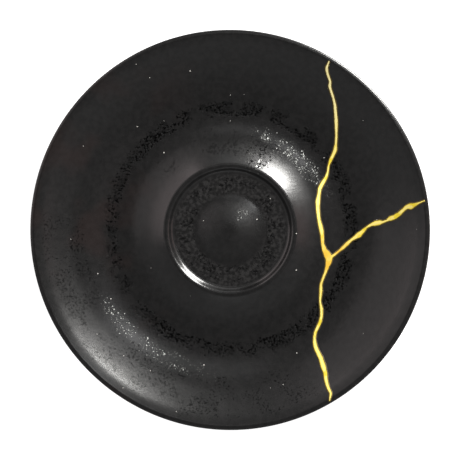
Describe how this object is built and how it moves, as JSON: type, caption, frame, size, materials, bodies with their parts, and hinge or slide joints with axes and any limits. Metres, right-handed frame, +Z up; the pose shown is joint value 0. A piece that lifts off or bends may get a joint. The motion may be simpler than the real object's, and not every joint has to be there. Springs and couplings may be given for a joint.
{
  "type": "saucer",
  "caption": "Round glazed saucer with a recessed cup well inside a raised ring, a shallow dish and a lifted rim, standing on a foot ring.",
  "frame": {"origin": "on the surface the saucer stands on, under its centre", "axes": "+Z up along the axis it is turned about; seen from above, the branch of the gold vein runs towards +X and its long line along Y"},
  "size_m": [0.15, 0.15, 0.0161],
  "materials": {
    "glaze": "near-black satin reactive glaze with fine dark pits and flecks",
    "gold": "bright fired gold line on the glaze"
  },
  "bodies": {
    "root": {"saucer": "glaze"}
  },
  "joints": []
}
